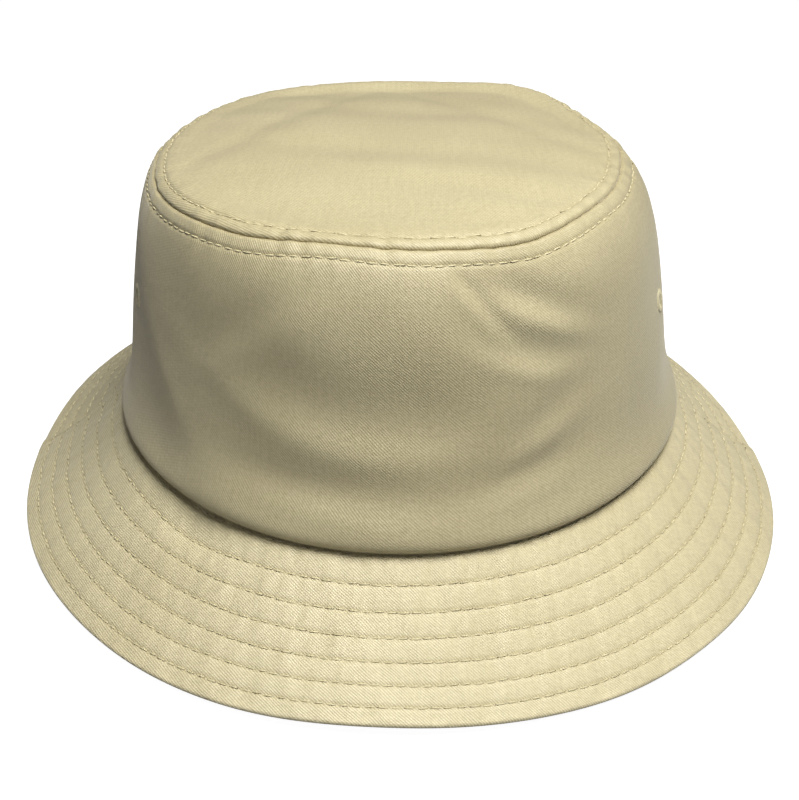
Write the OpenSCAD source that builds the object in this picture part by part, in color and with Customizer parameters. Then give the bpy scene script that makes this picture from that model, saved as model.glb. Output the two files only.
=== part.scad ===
// Bucket hat in cotton twill: a six-part crown and brim, taped and bound inside, with sewn eyelets.
// Front is -Y, +Z is up, and z = 0 is the plane that the brim's edge rests on.
// Every piece is a layer of cloth, tape or thread laid along one of two section paths,
// and each section is swept round the head's oval, which is drawn with four tangent arcs.

/* [Head] */
// Width of the crown at the headline, outside, from side to side
head_w = 181; // [170:1:220]
// Length of the crown at the headline, outside, from front to back
head_l = 195.6; // [184:0.1:240]

/* [Crown] */
// Height of the tip seam above the headline
crown_h = 80.7; // [67:0.1:97]
// How far the tip seam lies inside the headline oval
tip_inset = 21; // [16:0.5:26]
// Inward lean that the wall starts with, at the lean height
wall_lean = 8; // [4:0.5:12]
// Height above the headline that sets the start of the wall's curve
lean_h = 30; // [22:1:38]
// How far inside the oval the shoulder turns
shoulder_in = 6; // [3:0.5:10]
// How far below the tip seam the shoulder turns
shoulder_drop = 6.7; // [4:0.1:10]
// Rise of the tip panel from its seam to its flat middle
tip_rise = 3; // [1:0.5:6]
// Reach of the flat middle of the tip beyond the arc centres
tip_flat = 12; // [8:1:18]

/* [Brim] */
// Horizontal run of the brim, from the headline to its edge
brim_run = 37.6; // [30:0.1:48]
// Drop of the brim's upper face, from the headline to its edge
brim_drop = 33.1; // [26:0.1:42]
// Width of the turned edge between the two brim cloths
edge_turn = 5; // [3.5:0.5:6]
// Height of the corner pressed flat under the brim's edge, which the hat rests on
rim_press = 0.6; // [0.4:0.1:0.7]
// Height of the brim's seam allowance, turned up inside the crown
head_turn = 8; // [6:0.5:12]

/* [Cloth and tape] */
// Thickness of the cotton twill
cloth_t = 0.5; // [0.4:0.05:0.6]
// Thickness of the seam tape
tape_t = 0.4; // [0.3:0.05:0.6]
// Width of the tape over the tip seam
tip_tape_w = 15; // [13:1:18]
// Width of the tape over each side seam
side_tape_w = 12; // [9:1:16]
// Thickness of the folded sweatband
band_t = 1.2; // [0.9:0.1:1.6]
// Height of the sweatband
band_h = 28; // [22:1:34]
// Gap between the headline and the lower edge of the sweatband
band_lift = 0.5; // [0.3:0.1:1]
// Width of the care label
label_w = 26; // [20:1:34]
// Height of the care label
label_h = 18; // [14:1:20]
// Thickness of the care label, two layers of woven ribbon
label_t = 0.4; // [0.3:0.05:0.6]

/* [Stitching] */
// Width of a row of stitches
thread_w = 0.5; // [0.4:0.05:0.6]
// Height that a row of stitches stands on the cloth
thread_h = 0.25; // [0.2:0.05:0.35]
// Distance of the first brim row from the headline, along the brim
row_first = 1.5; // [1:0.1:2.5]
// Distance between brim rows
row_pitch = 7.1; // [4.5:0.1:7.4]
// Distance of the tip's topstitching from the tip seam
tip_row = 5; // [3.5:0.1:6]
// Distance of the wall's topstitching from the tip seam
wall_row = 5.5; // [3.5:0.1:6]
// Distance of the headline seam from the headline, up the sweatband
head_row = 4; // [2:0.1:5]

/* [Eyelets] */
// Radius of an embroidered eyelet, outside
eyelet_r = 3.75; // [3:0.05:5]
// Radius of the hole through an eyelet
vent_r = 1.5; // [1:0.05:2]
// Height that the embroidery stands off the cloth on each face
eyelet_proud = 0.35; // [0.25:0.05:0.6]
// Distance of an eyelet from the headline, up the wall
eyelet_up = 43.5; // [36:0.5:48]
// Distance of an eyelet from the side seam, round the side arc, in degrees
eyelet_turn = 18.5; // [12:0.5:30]

/* [Hidden] */
$fn = 96;
WALL_STEPS = 18;
TIP_STEPS = 8;
JOIN = 0.001;
LEFT = -1;
RIGHT = 1;
FRONT = -1;
REAR = 1;

// The oval: end arcs of radius end_r about (0, +-end_c), side arcs of radius side_r about (-+side_c, 0).
// The arcs meet on lines of slope 4 in 3 through both centres, so they are tangent there.
half_w = head_w / 2;
half_l = head_l / 2;
end_c = 2 * (half_l - half_w);
side_c = end_c * 3 / 4;
end_r = half_l - end_c;
side_r = half_w + side_c;
// Each arc is [centre, radius, first direction, last direction]
FRONT_ARCS = [
    [[-side_c, 0], side_r, [0.6, -0.8], [1, 0]],
    [[0, -end_c], end_r, [-0.6, -0.8], [0.6, -0.8]],
    [[side_c, 0], side_r, [-1, 0], [-0.6, -0.8]]
];
BACK_ARCS = [
    [[-side_c, 0], side_r, [1, 0], [0.6, 0.8]],
    [[0, end_c], end_r, [0.6, 0.8], [-0.6, 0.8]],
    [[side_c, 0], side_r, [-0.6, 0.8], [-1, 0]]
];
RING_ARCS = [
    [[-side_c, 0], side_r, [0.6, -0.8], [0.6, 0.8]],
    [[0, end_c], end_r, [0.6, 0.8], [-0.6, 0.8]],
    [[side_c, 0], side_r, [-0.6, 0.8], [-0.6, -0.8]],
    [[0, -end_c], end_r, [-0.6, -0.8], [0.6, -0.8]]
];
reach = 2 * head_l;

// The brim is four cloths thick: the interlining is as thick as the two turned edges that it butts against
interlining_t = 2 * cloth_t;
brim_t = 2 * cloth_t + interlining_t;
brim_slope = atan2(brim_drop, brim_run);
rim_z = brim_t * cos(brim_slope) - rim_press;
head_z = brim_drop + rim_z;
band_out = cloth_t + brim_t;
band_in = band_out + band_t;
label_low = head_row + thread_w;

// Section paths, as points [offset outside the headline oval, height]. Their right-hand side faces out.
function bezier(a, b, c, d, t) = a * pow(1 - t, 3) + b * 3 * t * pow(1 - t, 2) + c * 3 * t * t * (1 - t) + d * pow(t, 3);
function at_height(offset, height) = [offset, head_z + height];
seam_point = at_height(-tip_inset, crown_h);
flat_in = min(half_w - abs(side_c), half_l - abs(end_c)) - tip_flat;
middle_in = flat_in + tip_flat / 3;
tip_top = head_z + crown_h + tip_rise;
flat_point = [-flat_in, tip_top];
tip_bend = [-(tip_inset + flat_in) / 2, tip_top];
wall_path = [for (i = [0:WALL_STEPS])
    bezier(at_height(0, 0), at_height(-wall_lean, lean_h),
        at_height(-shoulder_in, crown_h - shoulder_drop), seam_point, i / WALL_STEPS)];
tip_path = [for (i = [1:TIP_STEPS]) bezier(seam_point, tip_bend, tip_bend, flat_point, i / TIP_STEPS)];
// The crown's outer face, from the headline over the tip seam to the flat middle
crown_path = concat(wall_path, tip_path, [[-middle_in, tip_top]]);
crown_len = last_of(stations(crown_path));
wall_len = last_of(stations(wall_path));
// The brim's upper face, from its edge to the headline and up behind the wall
brim_path = concat([[brim_run, rim_z]], layer_side(crown_path, 0, head_turn, -cloth_t));
brim_len = norm(brim_path[1] - brim_path[0]);
brim_full = last_of(stations(brim_path));

// Path geometry: a station is a distance along the path, and a depth is a distance off its right-hand side
function last_of(list) = list[len(list) - 1];
function seg_len(p, i) = i < len(p) - 1 ? norm(p[i + 1] - p[i]) : 0;
function stations(p) = [for (i = 0, s = 0; i < len(p); s = s + seg_len(p, i), i = i + 1) s];
function seg_normal(p, i) = [p[i + 1].y - p[i].y, p[i].x - p[i + 1].x] / norm(p[i + 1] - p[i]);
function mitre(a, b) = (a + b) / (1 + a * b);
function normal_at(p, i) = mitre(seg_normal(p, max(i - 1, 0)), seg_normal(p, min(i, len(p) - 2)));
function segment_of(st, s) = last_of([for (i = [0:len(st) - 2]) if (i == 0 || st[i] <= s) i]);
function mix(a, b, f) = a + (b - a) * f;
function on_path(p, s, depth) =
    let (st = stations(p), i = segment_of(st, s), f = (s - st[i]) / (st[i + 1] - st[i]))
    mix(p[i], p[i + 1], f) + depth * mix(normal_at(p, i), normal_at(p, i + 1), f);
function layer_side(p, from, to, depth) =
    let (inner = [for (s = stations(p)) if (s > from + JOIN && s < to - JOIN) s])
    [for (s = concat([from], inner, [to])) on_path(p, s, depth)];
function reversed(list) = [for (i = [len(list) - 1:-1:0]) list[i]];

// A layer of cloth between two stations of a path, from one depth to another
module layer(p, from, to, low, high)
    polygon(concat(layer_side(p, from, to, high), reversed(layer_side(p, from, to, low))));

// A row of stitches across a path, on a face at that depth; above says which way it stands
module thread_row(p, station, depth, above)
    layer(p, station - thread_w / 2, station + thread_w / 2,
        above ? depth : depth - thread_h, above ? depth + thread_h : depth);

// The wedge between two directions from a point, as tall as the hat
module wedge(centre, first, last)
    linear_extrude(2 * tip_top)
        polygon([for (v = [[0, 0], first, first + last, last]) centre + reach * v]);

// Sweeps a section round several arcs of the oval
module sweep(arcs)
    for (a = arcs)
        intersection() {
            translate(a[0])
                rotate_extrude()
                    translate([a[1], 0])
                        children();
            wedge(a[0], a[2], a[3]);
        }

// A short strip of a section, centred on a direction from an arc's centre
module strip(centre, radius, direction, width)
    translate(centre)
        rotate(direction - width_angle(width, radius) / 2)
            rotate_extrude(angle = width_angle(width, radius))
                translate([radius, 0])
                    children();
function width_angle(width, radius) = width / radius * 180 / PI;

// Puts its children's Z axis along the cloth's own normal at an eyelet
module at_eyelet(side, end) {
    spot = on_path(crown_path, eyelet_up, -cloth_t / 2);
    normal = seg_normal(crown_path, segment_of(stations(crown_path), eyelet_up));
    turn = side * end * eyelet_turn + (side == LEFT ? 180 : 0);
    translate([-side * side_c, 0])
        rotate(turn)
            translate([side_r + spot.x, 0, spot.y])
                rotate([0, 90 - atan2(normal.y, normal.x), 0])
                    children();
}

module crown_wall(arcs, end)
    difference() {
        sweep(arcs)
            layer(crown_path, 0, wall_len, -cloth_t, 0);
        for (side = [LEFT, RIGHT])
            at_eyelet(side, end)
                cylinder(r = eyelet_r, h = eyelet_r, center = true);
    }

module crown_wall_front() color("#d3cba3") crown_wall(FRONT_ARCS, FRONT);

module crown_wall_back() color("#cac298") crown_wall(BACK_ARCS, REAR);

// Flat middle of the tip: one disc for each arc, which stops at the hat's own centre
module tip_middle()
    for (a = RING_ARCS) {
        towards = a[2] + a[3];
        intersection() {
            translate([a[0].x, a[0].y, tip_top - cloth_t])
                cylinder(r = a[1] - middle_in, h = cloth_t);
            wedge(a[0], a[2], a[3]);
            rotate(atan2(towards.y, towards.x))
                translate([0, -reach, 0])
                    cube([reach, 2 * reach, 2 * tip_top]);
        }
    }

module crown_tip()
    color("#e0d9b6") {
        sweep(RING_ARCS)
            layer(crown_path, wall_len, crown_len, -cloth_t, 0);
        tip_middle();
    }

// Upper brim cloth, with its turned edge inside
module brim_upper(arcs)
    sweep(arcs) {
        layer(brim_path, 0, brim_full, -cloth_t, 0);
        layer(brim_path, 0, edge_turn, -2 * cloth_t, -cloth_t);
    }

module brim_upper_front() color("#d6cea6") brim_upper(FRONT_ARCS);

module brim_upper_back() color("#b9b086") brim_upper(BACK_ARCS);

module brim_interlining(arcs)
    sweep(arcs)
        layer(brim_path, edge_turn, brim_full, -cloth_t - interlining_t, -cloth_t);

module brim_interlining_front() color("#f1efe6") brim_interlining(FRONT_ARCS);

module brim_interlining_back() color("#eceadf") brim_interlining(BACK_ARCS);

// Under brim cloth, with its turned edge inside and its corner pressed flat at z = 0
module brim_under(arcs)
    sweep(arcs)
        difference() {
            union() {
                layer(brim_path, 0, brim_full, -brim_t, cloth_t - brim_t);
                layer(brim_path, 0, edge_turn, -brim_t, 2 * cloth_t - brim_t);
            }
            translate([0, -brim_drop])
                square([brim_run + brim_drop, brim_drop]);
        }

module brim_under_front() color("#b3aa7e") brim_under(FRONT_ARCS);

module brim_under_back() color("#a89f74") brim_under(BACK_ARCS);

module tip_seam_tape()
    color("#c9c19a")
        sweep(RING_ARCS)
            layer(crown_path, wall_len - tip_tape_w / 2, wall_len + tip_tape_w / 2, -cloth_t - tape_t, -cloth_t);

module side_seam_tape(side)
    strip([-side * side_c, 0], side_r, side == LEFT ? 180 : 0, side_tape_w)
        layer(crown_path, head_turn, wall_len - tip_tape_w / 2, -cloth_t - tape_t, -cloth_t);

module side_seam_tape_left() color("#c6be96") side_seam_tape(LEFT);

module side_seam_tape_right() color("#c6be96") side_seam_tape(RIGHT);

module sweatband()
    color("#cfc8a4")
        sweep(RING_ARCS)
            layer(crown_path, band_lift, band_lift + band_h, -band_in, -band_out);

// Blank label sewn to the sweatband at the centre back
module care_label()
    color("#f4f3ee")
        strip([0, end_c], end_r, 90, label_w)
            layer(crown_path, label_low, label_low + label_h, -band_in - label_t, -band_in);

module eyelet(side, end)
    at_eyelet(side, end)
        difference() {
            cylinder(r = eyelet_r, h = cloth_t + 2 * eyelet_proud, center = true);
            cylinder(r = vent_r, h = eyelet_r, center = true);
        }

module eyelet_left_front() color("#dcd5b2") eyelet(LEFT, FRONT);

module eyelet_left_rear() color("#dcd5b2") eyelet(LEFT, REAR);

module eyelet_right_front() color("#dcd5b2") eyelet(RIGHT, FRONT);

module eyelet_right_rear() color("#dcd5b2") eyelet(RIGHT, REAR);

// Topstitching beside the tip seam: the needle thread outside and the bobbin thread on the tape
module crown_topstitch(station)
    sweep(RING_ARCS) {
        thread_row(crown_path, station, 0, true);
        thread_row(crown_path, station, -cloth_t - tape_t, false);
    }

module tip_topstitch() color("#b5ab7c") crown_topstitch(wall_len + tip_row);

module wall_topstitch() color("#b5ab7c") crown_topstitch(wall_len - wall_row);

// Seam that holds the sweatband to the crown and brim
module headline_seam()
    color("#b5ab7c")
        sweep(RING_ARCS)
            thread_row(crown_path, head_row, -band_in, false);

// Concentric brim row, counted from the headline: the needle thread above and the bobbin thread below
module brim_stitch_row(number)
    color("#b5ab7c")
        sweep(RING_ARCS) {
            station = brim_len - row_first - (number - 1) * row_pitch;
            thread_row(brim_path, station, 0, true);
            thread_row(brim_path, station, -brim_t, false);
        }

module brim_stitch_row_1() brim_stitch_row(1);

module brim_stitch_row_2() brim_stitch_row(2);

module brim_stitch_row_3() brim_stitch_row(3);

module brim_stitch_row_4() brim_stitch_row(4);

module brim_stitch_row_5() brim_stitch_row(5);

module brim_stitch_row_6() brim_stitch_row(6);

module brim_stitch_row_7() brim_stitch_row(7);

crown_tip();
crown_wall_front();
crown_wall_back();
brim_upper_front();
brim_upper_back();
brim_interlining_front();
brim_interlining_back();
brim_under_front();
brim_under_back();
tip_seam_tape();
side_seam_tape_left();
side_seam_tape_right();
sweatband();
care_label();
eyelet_left_front();
eyelet_left_rear();
eyelet_right_front();
eyelet_right_rear();
tip_topstitch();
wall_topstitch();
headline_seam();
brim_stitch_row_1();
brim_stitch_row_2();
brim_stitch_row_3();
brim_stitch_row_4();
brim_stitch_row_5();
brim_stitch_row_6();
brim_stitch_row_7();
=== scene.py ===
"""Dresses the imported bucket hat: sculpted twill panels, real stitches, embroidered eyelets and a studio.

Every cloth panel is a thin closed shell laid on one sculpted form, so neighbouring pieces keep their fit.
Lengths are in metres and angles in radians, unless a name says mm or deg.
"""

import logging
import math
from dataclasses import dataclass, field
from enum import Enum
from typing import Callable, Sequence

import bpy
import numpy as np
from mathutils import Matrix, Vector


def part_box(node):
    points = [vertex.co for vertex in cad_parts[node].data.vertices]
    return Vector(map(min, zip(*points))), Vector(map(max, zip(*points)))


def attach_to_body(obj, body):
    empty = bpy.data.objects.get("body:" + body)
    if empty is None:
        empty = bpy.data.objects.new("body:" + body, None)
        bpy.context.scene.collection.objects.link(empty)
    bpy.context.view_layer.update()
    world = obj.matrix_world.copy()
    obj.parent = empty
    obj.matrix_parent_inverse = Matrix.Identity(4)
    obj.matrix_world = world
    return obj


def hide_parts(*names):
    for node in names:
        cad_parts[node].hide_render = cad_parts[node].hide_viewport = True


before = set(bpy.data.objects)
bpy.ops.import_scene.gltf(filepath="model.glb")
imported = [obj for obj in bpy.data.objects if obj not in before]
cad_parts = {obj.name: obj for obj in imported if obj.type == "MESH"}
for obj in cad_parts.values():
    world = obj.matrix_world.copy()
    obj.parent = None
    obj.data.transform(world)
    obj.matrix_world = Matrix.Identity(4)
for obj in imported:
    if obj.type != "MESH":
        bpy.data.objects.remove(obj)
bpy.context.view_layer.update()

LOG = logging.getLogger("bucket_hat")
MM = 0.001
BODY = "root"
FULL_TURN = 2 * math.pi
Array = np.ndarray


class Half(Enum):
    """The front or the back half of the hat, as the turns that it spans."""

    FRONT = (math.pi, 2 * math.pi)
    BACK = (0.0, math.pi)

    @property
    def word(self) -> str:
        """The half's name in lower case, as node names write it."""
        return self.name.lower()


class Side(Enum):
    """The hat's two sides: the sign of X there."""

    LEFT = -1
    RIGHT = 1


class Face(Enum):
    """Which face of the cloth a row of stitches lies on: the sign of its lift."""

    OUTSIDE = 1
    INSIDE = -1


def smooth_step(x: Array) -> Array:
    """Eases from 0 to 1 as x goes from 0 to 1."""
    x = np.clip(x, 0, 1)
    return x * x * (3 - 2 * x)


def bell(x: Array) -> Array:
    """A smooth bump: 1 at x = 0, falling to nothing past 2."""
    return np.exp(-x * x)


def turn_gap(turn: Array, centre_deg: float) -> Array:
    """Signed angle in degrees from a centre to each turn, the short way round."""
    return (np.degrees(turn) - centre_deg + 180) % 360 - 180


@dataclass(frozen=True)
class Ripple:
    """Gentle irregular waves in soft cloth: a sum of plane waves with fixed random phases.

    Args:
        seed: fixes the waves.
        count: how many waves.
        shortest: the shortest wavelength.
        longest: the longest wavelength.
        height: the rough height of the sum.
    """

    seed: int
    count: int
    shortest: float
    longest: float
    height: float

    def at(self, u: Array, v: Array) -> Array:
        """Height of the cloth at each point.

        Args:
            u: distance along one direction of the cloth.
            v: distance along the other.

        Returns:
            The heights, in metres.
        """
        draw = np.random.RandomState(self.seed)
        total = np.zeros(np.broadcast(u, v).shape)
        for _ in range(self.count):
            wavelength = draw.uniform(self.shortest, self.longest)
            heading, phase = draw.uniform(0, FULL_TURN, 2)
            along = u * math.cos(heading) + v * math.sin(heading)
            total = total + np.sin(FULL_TURN * along / wavelength + phase)
        return total * self.height / math.sqrt(self.count)


@dataclass(frozen=True)
class Oval:
    """The head's oval: four tangent arcs whose junctions lie on lines of slope 4 in 3.

    Args:
        half_width: half the width, along X.
        half_length: half the length, along Y.
    """

    half_width: float
    half_length: float

    def arc(self, turn: Array) -> tuple[Array, Array, Array]:
        """Centre X, centre Y and radius of the arc that each outward direction falls on."""
        end_reach = 2 * (self.half_length - self.half_width)
        side_reach = 0.75 * end_reach
        on_end = np.abs(np.sin(turn)) > 0.8
        centre_x = np.where(on_end, 0, -np.sign(np.cos(turn)) * side_reach)
        centre_y = np.where(on_end, np.sign(np.sin(turn)) * end_reach, 0)
        radius = np.where(on_end, self.half_length - end_reach, self.half_width + side_reach)
        return centre_x, centre_y, radius

    def at(self, turn: Array, offset: Array) -> Array:
        """Points at an offset outside the oval.

        Args:
            turn: outward direction from +X.
            offset: distance outside the oval.

        Returns:
            The points, with X and Y on the last axis.
        """
        x, y, radius = self.arc(turn)
        reach = radius + offset
        return np.stack([x + reach * np.cos(turn), y + reach * np.sin(turn)], -1)

    def distance(self, turn: Array, start: float) -> Array:
        """Distance round the oval from one turn to each of the others."""
        fine = np.linspace(min(start, float(np.min(turn))), max(start, float(np.max(turn))), 2001)
        points = self.at(fine, np.zeros_like(fine))
        steps = np.linalg.norm(np.diff(points, axis=0), axis=1)
        run = np.concatenate([[0], np.cumsum(steps)])
        return np.interp(turn, fine, run) - np.interp(start, fine, run)


@dataclass(frozen=True)
class Crease:
    """A soft valley across the tip, beyond which the cloth tilts.

    Args:
        heading_deg: direction from the middle of the tip to the crease, square to it.
        distance: how far the crease is from the middle.
        depth: depth of the valley.
        width: half width of the valley.
        tilt: slope of the cloth beyond it; positive falls away.
    """

    heading_deg: float
    distance: float
    depth: float
    width: float
    tilt: float

    def drop(self, x: Array, y: Array) -> Array:
        """How far the cloth lies below the plain tip at each point."""
        heading = math.radians(self.heading_deg)
        past = x * math.cos(heading) + y * math.sin(heading) - self.distance
        beyond = self.width * np.logaddexp(0, past / self.width)
        return self.depth * bell(past / self.width) + self.tilt * beyond


@dataclass(frozen=True)
class Fold:
    """A soft fold in the crown wall: a ridge with a valley above it, along a slanted line.

    Args:
        turn_deg: where its middle is, in degrees from the centre front, positive to the right.
        height_mm: height of its middle above the headline.
        slope: rise of its line, in mm for each mm to the right.
        curve: upward bend of its line, in mm for each mm squared.
        half_length_mm: half its length.
        ridge_mm: height of the ridge.
        valley_mm: depth of the valley above the ridge.
        ridge_width_mm: half width of the ridge.
        valley_width_mm: half width of the valley.
    """

    turn_deg: float
    height_mm: float
    slope: float
    curve: float
    half_length_mm: float
    ridge_mm: float
    valley_mm: float
    ridge_width_mm: float
    valley_width_mm: float

    def push(self, turn: Array, height_mm: Array, mm_per_deg: float) -> Array:
        """How far the fold pushes the wall out at each point, in mm."""
        x = turn_gap(turn, 270 + self.turn_deg) * mm_per_deg
        q = height_mm - (self.height_mm + self.slope * x + self.curve * x * x)
        ridge = self.ridge_mm * bell(q / self.ridge_width_mm)
        valley = self.valley_mm * bell((q - self.valley_width_mm) / self.valley_width_mm)
        return (ridge - valley) * bell(x / self.half_length_mm)


@dataclass
class HatForm:
    """The sculpted form that every piece lies on: the crown and the brim as functions of turn and station.

    A turn is the outward direction from +X, so the front is at 270 degrees. A station is a distance
    along the cloth: up the crown from the headline, or down the brim from the headline.
    """

    oval: Oval = field(init=False)
    head_z: float = field(init=False)
    crown_height: float = field(init=False)
    tip_inset: float = field(init=False)
    brim_run: float = field(init=False)
    cloth: float = 0.5 * MM
    brim_thickness: float = 2.0 * MM
    tip_rise: float = 2.0 * MM
    shoulder_round: float = 1.2 * MM
    wall_lean: float = 8.0 * MM
    lean_height: float = 30.0 * MM
    shoulder_in: float = 6.0 * MM
    shoulder_drop: float = 6.7 * MM
    crown_lean: float = 2.0 * MM
    hem_bulge: float = 2.5 * MM
    hem_height: float = 4.0 * MM
    brim_fall: float = 28.0 * MM
    brim_saddle: float = 3.2 * MM
    brim_tilt: float = 5.0 * MM
    brim_back_shift: float = 4.0 * MM
    brim_skew: float = 2.4 * MM
    seam_dip: float = 2.6 * MM
    edge_dip: float = 1.2 * MM
    hem_dip: float = 1.8 * MM
    first_row: float = 0.022
    row_step: float = 0.1655
    row_tightening: float = 0.0035
    row_count: int = 7
    tip_row: float = 4.0
    wall_row: float = 4.4
    creases: Sequence[Crease] = (
        Crease(38.0, 41.0 * MM, 0.7 * MM, 5.5 * MM, 0.06),
        Crease(150.8, 43.0 * MM, 0.6 * MM, 5.0 * MM, 0.02),
        Crease(250.0, 34.0 * MM, 0.35 * MM, 6.0 * MM, 0.03),
        Crease(84.0, 12.0 * MM, 0.0, 9.0 * MM, 0.05),
    )
    folds: Sequence[Fold] = (
        Fold(-10.0, 27.0, -0.12, 0.0026, 40.0, 0.9, 1.7, 5.5, 12.0),
        Fold(30.0, 60.0, -0.36, 0.0, 19.0, 1.0, 1.1, 3.6, 5.5),
        Fold(16.0, 66.0, -0.9, 0.0, 12.0, 0.3, 1.0, 4.0, 4.0),
        Fold(27.0, 47.0, -0.25, 0.004, 18.0, 0.6, 0.8, 3.6, 5.0),
        Fold(30.0, 27.0, 0.3, 0.0, 16.0, 0.5, 0.6, 4.0, 6.0),
        Fold(-52.0, 30.0, -0.9, 0.0, 15.0, 0.25, 0.2, 6.5, 8.0),
        Fold(-30.0, 52.0, 0.5, 0.0, 22.0, 0.35, 0.6, 6.0, 8.0),
        Fold(-15.0, 10.0, -0.05, 0.0, 30.0, 0.5, 0.9, 4.0, 6.0),
        Fold(26.0, 13.0, 0.12, 0.0, 20.0, 0.5, 0.8, 4.0, 5.5),
        Fold(120.0, 40.0, 0.15, 0.0, 30.0, 0.8, 1.0, 5.0, 9.0),
        Fold(-135.0, 48.0, -0.2, 0.0, 26.0, 0.8, 1.0, 5.0, 9.0),
        Fold(175.0, 30.0, 0.05, 0.002, 40.0, 0.8, 1.2, 5.0, 11.0),
    )
    wall_ripple: Ripple = Ripple(3, 7, 28 * MM, 70 * MM, 0.28 * MM)
    tip_ripple: Ripple = Ripple(8, 9, 20 * MM, 64 * MM, 0.42 * MM)
    brim_ripple: Ripple = Ripple(5, 6, 40 * MM, 110 * MM, 0.35 * MM)

    def __post_init__(self) -> None:
        """Takes the driving sizes from the frame and lays out the crown's profile."""
        wall_low, wall_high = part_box("crown_wall_front")
        brim_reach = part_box("brim_upper_front")[1].x
        seam_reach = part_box("crown_tip")[1].x
        self.oval = Oval(wall_high.x, -wall_low.y)
        self.head_z = wall_low.z
        self.crown_height = wall_high.z - wall_low.z
        self.tip_inset = wall_high.x - seam_reach
        self.brim_run = brim_reach - wall_high.x
        t = np.linspace(0, 1, 240)
        self.profile_offset = (
            -3 * (1 - t) ** 2 * t * self.wall_lean
            - 3 * (1 - t) * t**2 * self.shoulder_in
            - t**3 * self.tip_inset
        )
        self.profile_height = (
            3 * (1 - t) ** 2 * t * self.lean_height
            + 3 * (1 - t) * t**2 * (self.crown_height - self.shoulder_drop)
            + t**3 * self.crown_height
        )
        steps = np.hypot(np.diff(self.profile_offset), np.diff(self.profile_height))
        self.profile_station = np.concatenate([[0], np.cumsum(steps)])
        self.wall_length = float(self.profile_station[-1])

    def seam_slip(self, turn: Array) -> Array:
        """How far the tip seam has rolled down over the shoulder at each turn."""
        left = 4.6 * bell(turn_gap(turn, 208) / 34)
        right = 2.4 * bell(turn_gap(turn, 297) / 26)
        back = 7.0 * bell(turn_gap(turn, 92) / 58)
        wander = 0.35 * np.sin(5 * turn + 0.8) + 0.25 * np.sin(11 * turn)
        return (0.9 + left + right + back + wander) * MM

    def seam_station(self, turn: Array) -> Array:
        """Station of the tip seam at each turn."""
        return self.wall_length - self.seam_slip(turn)

    def corner_push(self, turn: Array) -> Array:
        """How far the stiff shoulder stands out at the two back corners of the tip."""
        right = 5.2 * bell(turn_gap(turn, 48) / 15) - 1.8 * bell(turn_gap(turn, 352) / 28)
        return (right + 2.6 * bell(turn_gap(turn, 136) / 18)) * MM

    def corner_lift(self, turn: Array) -> Array:
        """How far the shoulder rises at the right back corner, where the seam allowances are thick."""
        return 1.6 * MM * bell(turn_gap(turn, 52) / 20)

    def crown(self, turn: Array, station: Array, hem: float = 1.0) -> Array:
        """Outer face of the crown, folds included.

        Args:
            turn: outward directions.
            station: distances up the cloth; past the wall's length they run over the tip to its middle.
            hem: how much of the bulge above the headline to keep.

        Returns:
            The points.
        """
        turn, station = np.broadcast_arrays(np.asarray(turn, float), np.asarray(station, float))
        on_wall = np.clip(station, 0, self.wall_length)
        offset = np.interp(on_wall, self.profile_station, self.profile_offset)
        height = np.interp(on_wall, self.profile_station, self.profile_height)
        hem_share = np.maximum(height, 0) / self.hem_height
        push = hem * self.hem_bulge * hem_share * np.exp(1 - hem_share)
        height_mm = height / MM
        fade = smooth_step((self.wall_length - station) / (18 * MM)) * smooth_step(height_mm / 9)
        for fold in self.folds:
            push = push + fold.push(turn, height_mm, self.mm_per_degree) * fade * MM
        ring = self.oval.at(turn, np.zeros_like(turn))
        push = push + self.wall_ripple.at(ring[..., 0] + 0.7 * height, ring[..., 1] - 0.7 * height) * fade
        shoulder = bell((station - self.wall_length) / (16 * MM))
        shoulder = np.where(station > self.wall_length, 1, shoulder)
        push = push + self.corner_push(turn) * shoulder
        on_rim = self.oval.at(turn, offset + push)
        on_rim[..., 0] = on_rim[..., 0] - self.crown_lean * (np.maximum(height, 0) / self.crown_height) ** 2
        over = np.maximum(station - self.wall_length, 0)
        reach = np.linalg.norm(on_rim, axis=-1)
        share = np.clip(over / reach, 0, 1)
        plan = on_rim * (1 - share)[..., None]
        lift = self.corner_lift(turn) * shoulder * bell(share / 0.4)
        z = self.head_z + height + lift + self.tip_height(plan[..., 0], plan[..., 1], share)
        return np.concatenate([plan, z[..., None]], -1)

    @property
    def mm_per_degree(self) -> float:
        """Distance round the crown for each degree of turn, in mm, near the front."""
        return math.radians(self.oval.half_width + self.oval.half_length) / 2 / MM

    def tip_height(self, x: Array, y: Array, share: Array) -> Array:
        """Height of the tip's cloth above its seam: a low dome with creases and ripples.

        Args:
            x: places along X.
            y: places along Y.
            share: how far each point is from the seam to the middle, from 0 to 1.

        Returns:
            The heights.
        """
        rise = self.tip_rise * (1 - (1 - np.minimum(share / 0.62, 1)) ** 2)
        rise = rise + self.shoulder_round * (1 - np.exp(-share / 0.06))
        drop = sum(crease.drop(x, y) for crease in self.creases)
        return rise + (self.tip_ripple.at(x, y) - drop) * smooth_step(share / 0.12)

    def side_gap(self, turn: Array) -> Array:
        """Distance round the crown to the nearer side seam, in mm."""
        return np.minimum(np.abs(turn_gap(turn, 0)), np.abs(turn_gap(turn, 180))) * self.mm_per_degree

    def brim_slant(self, turn: Array) -> Array:
        """Width of the brim along its slope at each turn."""
        return np.hypot(self.brim_run, self.edge_height(turn))

    def edge_height(self, turn: Array) -> Array:
        """Height of the brim's edge above the headline, which is negative."""
        saddle = self.brim_saddle * np.cos(2 * turn)
        wave = 0.5 * MM * np.sin(7 * turn + 0.5) + 0.4 * MM * np.sin(4 * turn + 2)
        return -self.brim_fall - saddle + self.brim_tilt * np.sin(turn) + wave * np.abs(np.sin(turn))

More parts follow.
